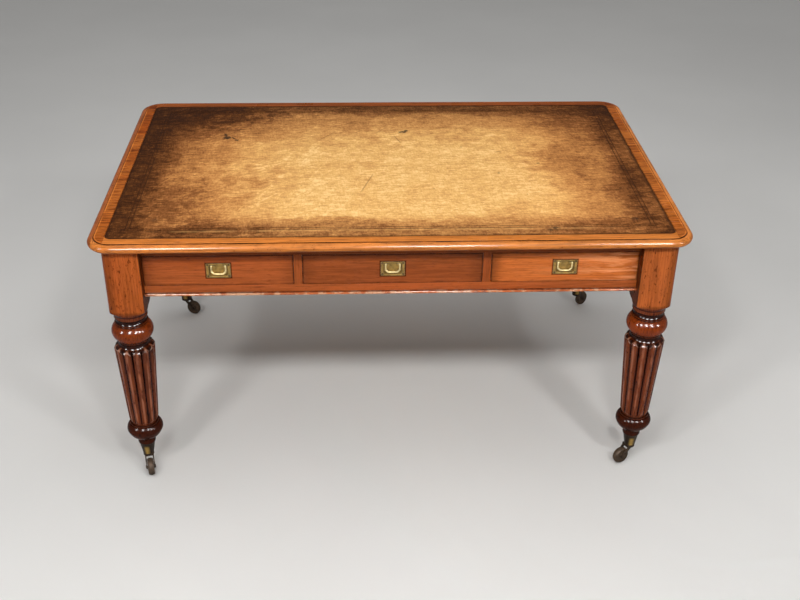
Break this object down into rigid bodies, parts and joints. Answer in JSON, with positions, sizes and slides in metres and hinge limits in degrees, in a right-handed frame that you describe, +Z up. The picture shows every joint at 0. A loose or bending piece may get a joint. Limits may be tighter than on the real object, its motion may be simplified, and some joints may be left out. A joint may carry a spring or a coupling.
{
  "type": "partners desk",
  "caption": "Freestanding partners desk with a leather-lined top, reeded turned legs on brass castors and dovetailed frieze drawers with flush handles on both long sides.",
  "frame": {"origin": "on the floor under the centre of the top", "axes": "+X along the desk's length, +Z up, the side in the picture faces -Y"},
  "size_m": [1.569, 1.027, 0.762],
  "materials": {
    "leather": "worn antique hide, waxed, darker towards its edges",
    "mahogany_top": "french polished orange-brown mahogany",
    "mahogany_frieze": "polished red-brown mahogany",
    "mahogany_leg": "glossy polished mahogany, darker on the turnings",
    "carcass_wood": "dry unpolished softwood",
    "drawer_lining": "unpolished oak lining",
    "brass": "aged brass, dark in its recesses",
    "castor_iron": "dark worn casting",
    "castor_wheel": "dull worn bronze tread"
  },
  "bodies": {
    "desk_frame": {"leather_inset": "leather", "crossbanding": "mahogany_top", "edge_mouldings": "mahogany_top", "top_core": "carcass_wood", "centre_spine": "carcass_wood", "drawer_runners": "carcass_wood", "drawer_guides": "carcass_wood", "drawer_kickers": "carcass_wood", "end_apron_left": "mahogany_frieze", "end_apron_right": "mahogany_frieze", "front_bottom_rail": "mahogany_frieze", "back_bottom_rail": "mahogany_frieze", "front_top_rail": "mahogany_frieze", "back_top_rail": "mahogany_frieze", "muntins": "mahogany_frieze", "bead_mouldings": "mahogany_frieze", "castor_cups": "brass", "castor_pintles": "castor_iron", "leg_front_left": "mahogany_leg", "leg_front_right": "mahogany_leg", "leg_back_left": "mahogany_leg", "leg_back_right": "mahogany_leg"},
    "drawer_front_left": {"drawer_front_front_left": "mahogany_frieze", "drawer_sides_front_left": "drawer_lining", "drawer_bottom_front_left": "drawer_lining", "handle_plate_front_left": "brass"},
    "bail_front_left": {"handle_bail_front_left": "brass"},
    "drawer_front_middle": {"drawer_front_front_middle": "mahogany_frieze", "drawer_sides_front_middle": "drawer_lining", "drawer_bottom_front_middle": "drawer_lining", "handle_plate_front_middle": "brass"},
    "bail_front_middle": {"handle_bail_front_middle": "brass"},
    "drawer_front_right": {"drawer_front_front_right": "mahogany_frieze", "drawer_sides_front_right": "drawer_lining", "drawer_bottom_front_right": "drawer_lining", "handle_plate_front_right": "brass"},
    "bail_front_right": {"handle_bail_front_right": "brass"},
    "drawer_back_left": {"drawer_front_back_left": "mahogany_frieze", "drawer_sides_back_left": "drawer_lining", "drawer_bottom_back_left": "drawer_lining", "handle_plate_back_left": "brass"},
    "bail_back_left": {"handle_bail_back_left": "brass"},
    "drawer_back_middle": {"drawer_front_back_middle": "mahogany_frieze", "drawer_sides_back_middle": "drawer_lining", "drawer_bottom_back_middle": "drawer_lining", "handle_plate_back_middle": "brass"},
    "bail_back_middle": {"handle_bail_back_middle": "brass"},
    "drawer_back_right": {"drawer_front_back_right": "mahogany_frieze", "drawer_sides_back_right": "drawer_lining", "drawer_bottom_back_right": "drawer_lining", "handle_plate_back_right": "brass"},
    "bail_back_right": {"handle_bail_back_right": "brass"},
    "castor_front_left": {"castor_fork_front_left": "castor_iron"},
    "wheel_front_left": {"castor_wheel_front_left": "castor_wheel"},
    "castor_front_right": {"castor_fork_front_right": "castor_iron"},
    "wheel_front_right": {"castor_wheel_front_right": "castor_wheel"},
    "castor_back_left": {"castor_fork_back_left": "castor_iron"},
    "wheel_back_left": {"castor_wheel_back_left": "castor_wheel"},
    "castor_back_right": {"castor_fork_back_right": "castor_iron"},
    "wheel_back_right": {"castor_wheel_back_right": "castor_wheel"}
  },
  "joints": [
    {"name": "drawer_front_left_slide", "type": "slide", "parent": "desk_frame", "child": "drawer_front_left", "axis": [0, -1, 0], "range_m": [0, 0.34]},
    {"name": "bail_front_left_lift", "type": "hinge", "parent": "drawer_front_left", "child": "bail_front_left", "pos_m": [-0.456, -0.4518, 0.67105], "axis": [-1, 0, 0], "range_deg": [0, 90]},
    {"name": "drawer_front_middle_slide", "type": "slide", "parent": "desk_frame", "child": "drawer_front_middle", "axis": [0, -1, 0], "range_m": [0, 0.34]},
    {"name": "bail_front_middle_lift", "type": "hinge", "parent": "drawer_front_middle", "child": "bail_front_middle", "pos_m": [0, -0.4518, 0.67105], "axis": [-1, 0, 0], "range_deg": [0, 90]},
    {"name": "drawer_front_right_slide", "type": "slide", "parent": "desk_frame", "child": "drawer_front_right", "axis": [0, -1, 0], "range_m": [0, 0.34]},
    {"name": "bail_front_right_lift", "type": "hinge", "parent": "drawer_front_right", "child": "bail_front_right", "pos_m": [0.456, -0.4518, 0.67105], "axis": [-1, 0, 0], "range_deg": [0, 90]},
    {"name": "drawer_back_left_slide", "type": "slide", "parent": "desk_frame", "child": "drawer_back_left", "axis": [0, 1, 0], "range_m": [0, 0.34]},
    {"name": "bail_back_left_lift", "type": "hinge", "parent": "drawer_back_left", "child": "bail_back_left", "pos_m": [-0.456, 0.4518, 0.67105], "axis": [1, 0, 0], "range_deg": [0, 90]},
    {"name": "drawer_back_middle_slide", "type": "slide", "parent": "desk_frame", "child": "drawer_back_middle", "axis": [0, 1, 0], "range_m": [0, 0.34]},
    {"name": "bail_back_middle_lift", "type": "hinge", "parent": "drawer_back_middle", "child": "bail_back_middle", "pos_m": [0, 0.4518, 0.67105], "axis": [1, 0, 0], "range_deg": [0, 90]},
    {"name": "drawer_back_right_slide", "type": "slide", "parent": "desk_frame", "child": "drawer_back_right", "axis": [0, 1, 0], "range_m": [0, 0.34]},
    {"name": "bail_back_right_lift", "type": "hinge", "parent": "drawer_back_right", "child": "bail_back_right", "pos_m": [0.456, 0.4518, 0.67105], "axis": [1, 0, 0], "range_deg": [0, 90]},
    {"name": "castor_front_left_swivel", "type": "hinge", "parent": "desk_frame", "child": "castor_front_left", "pos_m": [-0.701, -0.4385, 0.05], "axis": [0, 0, 1], "continuous": true},
    {"name": "wheel_front_left_roll", "type": "hinge", "parent": "castor_front_left", "child": "wheel_front_left", "pos_m": [-0.69374, -0.46761, 0.025], "axis": [0.9703, 0.2419, 0], "continuous": true},
    {"name": "castor_front_right_swivel", "type": "hinge", "parent": "desk_frame", "child": "castor_front_right", "pos_m": [0.701, -0.4385, 0.05], "axis": [0, 0, 1], "continuous": true},
    {"name": "wheel_front_right_roll", "type": "hinge", "parent": "castor_front_right", "child": "wheel_front_right", "pos_m": [0.67476, -0.45304, 0.025], "axis": [0.4848, -0.8746, 0], "continuous": true},
    {"name": "castor_back_left_swivel", "type": "hinge", "parent": "desk_frame", "child": "castor_back_left", "pos_m": [-0.701, 0.4385, 0.05], "axis": [0, 0, 1], "continuous": true},
    {"name": "wheel_back_left_roll", "type": "hinge", "parent": "castor_back_left", "child": "wheel_back_left", "pos_m": [-0.67427, 0.42488, 0.025], "axis": [0.454, 0.891, 0], "continuous": true},
    {"name": "castor_back_right_swivel", "type": "hinge", "parent": "desk_frame", "child": "castor_back_right", "pos_m": [0.701, 0.4385, 0.05], "axis": [0, 0, 1], "continuous": true},
    {"name": "wheel_back_right_roll", "type": "hinge", "parent": "castor_back_right", "child": "wheel_back_right", "pos_m": [0.72398, 0.45778, 0.025], "axis": [-0.6428, 0.766, 0], "continuous": true}
  ]
}
